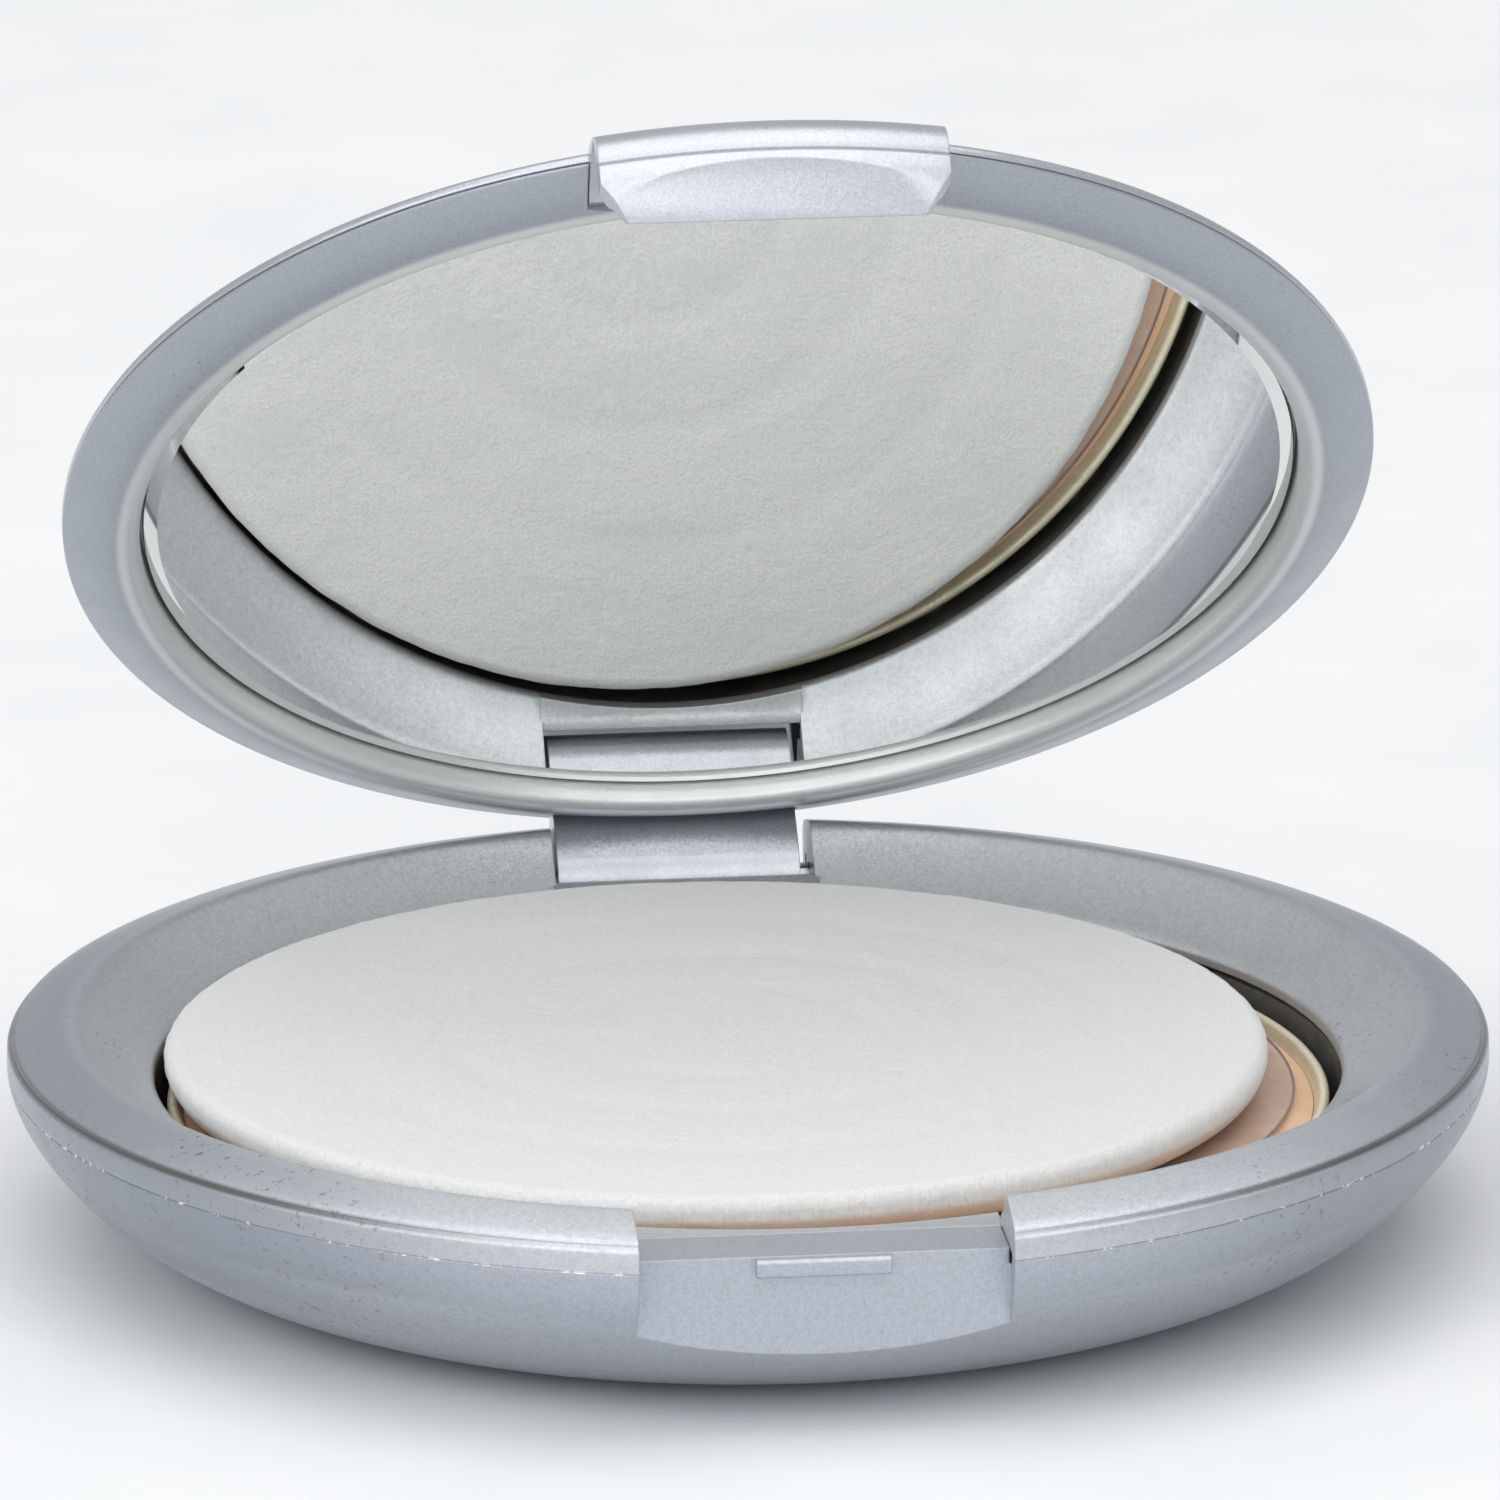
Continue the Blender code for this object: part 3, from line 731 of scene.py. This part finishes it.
def plain(name, dark, light, roughness, metallic=0.0, scale=900.0, relief_height=0.00003,
          stretch=None):
    """Hidden piece or paper floor: mottled colour and roughness with a fine surface grain."""
    n = Nodes(name, dark, roughness, metallic)
    grain = n.noise(scale, 4.0, 0.6, stretch)
    colour = n.mix(n.ranged(grain, 0.3, 0.7), dark, light)
    rough = n.ranged(grain, 0.3, 0.7, roughness - 0.06, roughness + 0.08)
    return n.paint(colour, rough, n.bump(grain, relief_height, 0.5))


def repaint(node, finish):
    """Give a CAD node that is carried over a finish."""
    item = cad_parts[node]
    item.data.materials.clear()
    item.data.materials.append(finish)


# ---------------------------------------------------------------- stage

def make_floor():
    bm = bmesh.new()
    bmesh.ops.create_grid(bm, x_segments=8, y_segments=8, size=4.0)
    mesh = bpy.data.meshes.new("floor")
    bm.to_mesh(mesh)
    bm.free()
    floor = bpy.data.objects.new("floor", mesh)
    floor.location.z = -0.00005
    bpy.context.scene.collection.objects.link(floor)
    paper = plain("floor_paper", (0.74, 0.75, 0.76), (0.77, 0.775, 0.78), 0.8, 0.0, 40.0, 0.0001)
    mesh.materials.append(paper)


def make_light(name, place, aim, size, power):
    data = bpy.data.lights.new(name, "AREA")
    data.shape = "RECTANGLE"
    data.size, data.size_y = size
    data.energy = power
    lamp = bpy.data.objects.new(name, data)
    lamp.location = place
    lamp.rotation_mode = "QUATERNION"
    lamp.rotation_quaternion = (Vector(aim) - Vector(place)).to_track_quat("-Z", "Y")
    bpy.context.scene.collection.objects.link(lamp)


def make_lights():
    world = bpy.data.worlds.new("studio")
    world.use_nodes = True
    background = world.node_tree.nodes["Background"]
    background.inputs["Color"].default_value = (0.96, 0.98, 1.0, 1)
    background.inputs["Strength"].default_value = 0.52
    bpy.context.scene.world = world
    bpy.context.scene.view_settings.view_transform = "Standard"
    make_light("front", (-0.1, -1.6, 1.15), (0, 0, 0.03), (3.0, 1.9), 25.0)
    make_light("top", (0.0, 0.05, 1.3), (0, 0, 0), (1.6, 1.3), 10.0)
    make_light("left", (-1.25, -0.6, 0.85), (0, 0, 0.02), (1.0, 0.9), 5.0)


def make_camera():
    """Long lens from slightly left of the front, looking down about 16 degrees.

    It stands at a distance in metres from the middle of the crease, at an elevation, swing and roll
    in degrees, and aims above that middle by two tangents.
    """
    distance, elevation, swing, roll = 0.80837, 16.848, -5.999, -0.331
    aim_up, aim_right = 0.017651, 0.000137
    e, s, r = (math.radians(v) for v in (elevation, swing, roll))
    back = Vector((math.sin(s) * math.cos(e), -math.cos(s) * math.cos(e), math.sin(e)))
    ahead = -back
    right = ahead.cross(Vector((0, 0, 1))).normalized()
    up = right.cross(ahead)
    right, up = math.cos(r) * right + math.sin(r) * up, math.cos(r) * up - math.sin(r) * right
    aim = (ahead + right * aim_right + up * aim_up).normalized()
    right = (right - right.dot(aim) * aim).normalized()
    up = right.cross(aim)
    data = bpy.data.cameras.new("camera")
    data.lens, data.sensor_width = 377.0, 36.0
    data.clip_start, data.clip_end = 0.05, 20.0
    camera = bpy.data.objects.new("camera", data)
    turn = Matrix((right, up, -aim)).transposed().to_4x4()
    camera.matrix_world = Matrix.Translation(back * distance + Vector((0, 0, CREASE * MM))) @ turn
    bpy.context.scene.collection.objects.link(camera)
    bpy.context.scene.camera = camera


# ---------------------------------------------------------------- build

make_camera()
# The base's two lacquers carry painted shade at the sides and in the crease.
make_base_shell(lacquer("silver_lacquer", (0.46, 0.49, 0.55), 1.1, 0.42, 0.75, base_shade_and_wear=True))
make_base_rim(lacquer("silver_lacquer_rim", (0.575, 0.595, 0.625), 1.0, 0.42, 0.7, base_shade_and_wear=True))
make_pan(gold())
make_powder(powder())
make_film(film())
make_puff(velour())
make_lid_shell(lacquer("silver_lacquer_lid", (0.50, 0.52, 0.56), 0.35))
lid_centre = open_place(0.0, 0.0, 0.5)
make_lid_panel(lacquer("silver_lacquer_panel", (0.35, 0.38, 0.425), 0.2, 0.4, 0.7, lip=lid_centre))
make_mirror(mirror_face(), mirror_edge())
# The tray's near-black tone is partly its dark plastic and partly painted shade on the well wall it forms.
repaint("inner_tray", plain("grey_plastic", (0.10, 0.095, 0.09), (0.15, 0.14, 0.13), 0.5))
steel = plain("pin_steel", (0.5, 0.5, 0.51), (0.6, 0.6, 0.61), 0.28, 1.0, 700.0, 0.00001, (0.1, 5, 5))
repaint("hinge_pin", steel)
repaint("pan_adhesive", plain("adhesive", (0.74, 0.72, 0.66), (0.82, 0.8, 0.74), 0.55))
repaint("mirror_tape", plain("foam_tape", (0.68, 0.68, 0.66), (0.78, 0.78, 0.76), 0.8))
make_floor()
make_lights()
